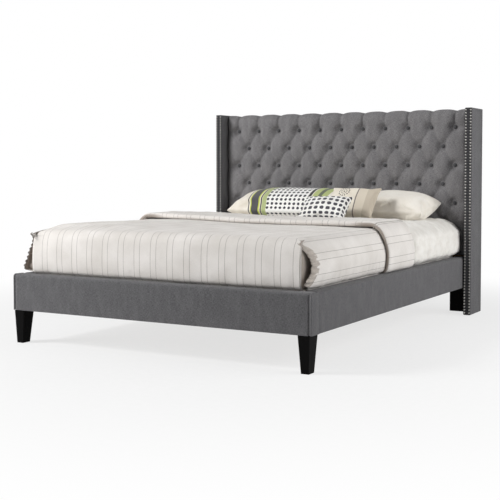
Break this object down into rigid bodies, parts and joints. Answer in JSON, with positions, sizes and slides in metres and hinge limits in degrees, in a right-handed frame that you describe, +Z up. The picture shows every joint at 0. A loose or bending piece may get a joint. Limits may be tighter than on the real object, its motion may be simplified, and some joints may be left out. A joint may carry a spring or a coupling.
{
  "type": "upholstered wing bed with bedding",
  "caption": "Wide upholstered bed with a deep-buttoned headboard between two nail-trimmed wings, padded rails, black legs, slats, mattress, striped bedding, pillows and cushions.",
  "frame": {"origin": "on the floor, in the middle of the bed's length and width", "axes": "+Y towards the headboard, +Z up, +X to the right of a person lying on their back"},
  "size_m": [1.8, 2.27, 1.258],
  "materials": {
    "frame_wood": "planed softwood, uncoated",
    "plywood": "sanded plywood",
    "support_wood": "planed softwood, uncoated",
    "slat_wood": "smooth, uncoated",
    "black_wood": "black stain, satin",
    "upholstery": "grey woven cloth over padding, matt",
    "upholstery_buttons": "the same grey cloth, matt",
    "back_cloth": "thin black lining cloth",
    "strap_webbing": "woven webbing",
    "mattress_cloth": "knitted ticking, matt",
    "pad_cloth": "white quilted cotton, matt",
    "striped_cloth": "ivory cotton with thin grey-brown stripes",
    "banded_cloth": "cream cotton with grey and green bands",
    "dotted_cloth": "white cotton with small dark dots",
    "beige_cloth": "beige woven cotton",
    "white_cloth": "white cotton",
    "nail_metal": "polished pewter colour",
    "steel_fasteners": "zinc plated",
    "bracket_steel": "black powder coat",
    "foot_plastic": "black plastic"
  },
  "bodies": {
    "bed_frame": {"foot_rail_board": "frame_wood", "foot_rail_padding": "upholstery", "left_side_rail_board": "frame_wood", "left_side_rail_padding": "upholstery", "right_side_rail_board": "frame_wood", "right_side_rail_padding": "upholstery", "headboard_panel": "plywood", "headboard_battens": "frame_wood", "headboard_back_cloth": "back_cloth", "headboard_tufted_pad": "upholstery", "tuft_buttons": "upholstery_buttons", "left_wing_board": "frame_wood", "left_wing_padding": "upholstery", "left_wing_nails": "nail_metal", "right_wing_board": "frame_wood", "right_wing_padding": "upholstery", "right_wing_nails": "nail_metal", "wing_bolts": "steel_fasteners", "front_left_leg": "black_wood", "front_right_leg": "black_wood", "leg_hanger_bolts": "steel_fasteners", "left_headboard_leg": "black_wood", "right_headboard_leg": "black_wood", "headboard_leg_bolts": "steel_fasteners", "left_slat_ledger": "support_wood", "right_slat_ledger": "support_wood", "wood_screws": "steel_fasteners", "corner_brackets": "bracket_steel", "bracket_bolts": "steel_fasteners", "centre_beam": "support_wood", "beam_hangers": "bracket_steel", "centre_leg_1": "support_wood", "centre_leg_2": "support_wood", "centre_leg_3": "support_wood", "slat_01": "slat_wood", "slat_02": "slat_wood", "slat_03": "slat_wood", "slat_04": "slat_wood", "slat_05": "slat_wood", "slat_06": "slat_wood", "slat_07": "slat_wood", "slat_08": "slat_wood", "slat_09": "slat_wood", "slat_10": "slat_wood", "slat_11": "slat_wood", "slat_12": "slat_wood", "slat_13": "slat_wood", "slat_14": "slat_wood", "slat_straps": "strap_webbing"},
    "mattress_set": {"mattress": "mattress_cloth", "mattress_pad": "pad_cloth", "coverlet": "striped_cloth", "folded_cover": "striped_cloth"},
    "banded_pillow_body": {"banded_pillow": "banded_cloth"},
    "white_pillow_body": {"white_pillow": "white_cloth"},
    "dotted_cushion_body": {"dotted_cushion": "dotted_cloth"},
    "beige_cushion_body": {"beige_cushion": "beige_cloth"},
    "levelling_foot_1_body": {"levelling_foot_1": "foot_plastic"},
    "levelling_foot_2_body": {"levelling_foot_2": "foot_plastic"},
    "levelling_foot_3_body": {"levelling_foot_3": "foot_plastic"}
  },
  "joints": [
    {"name": "mattress_lift", "type": "slide", "parent": "bed_frame", "child": "mattress_set", "axis": [0, 0, 1], "range_m": [0, 0.35]},
    {"name": "banded_pillow_lift", "type": "slide", "parent": "mattress_set", "child": "banded_pillow_body", "axis": [0, 0, 1], "range_m": [0, 0.25]},
    {"name": "white_pillow_lift", "type": "slide", "parent": "mattress_set", "child": "white_pillow_body", "axis": [0, 0, 1], "range_m": [0, 0.25]},
    {"name": "dotted_cushion_lift", "type": "slide", "parent": "mattress_set", "child": "dotted_cushion_body", "axis": [0, 0, 1], "range_m": [0, 0.25]},
    {"name": "beige_cushion_lift", "type": "slide", "parent": "mattress_set", "child": "beige_cushion_body", "axis": [0, 0, 1], "range_m": [0, 0.25]},
    {"name": "levelling_foot_1_screw", "type": "slide", "parent": "bed_frame", "child": "levelling_foot_1_body", "axis": [0, 0, -1], "range_m": [0, 0.015]},
    {"name": "levelling_foot_2_screw", "type": "slide", "parent": "bed_frame", "child": "levelling_foot_2_body", "axis": [0, 0, -1], "range_m": [0, 0.015]},
    {"name": "levelling_foot_3_screw", "type": "slide", "parent": "bed_frame", "child": "levelling_foot_3_body", "axis": [0, 0, -1], "range_m": [0, 0.015]}
  ]
}
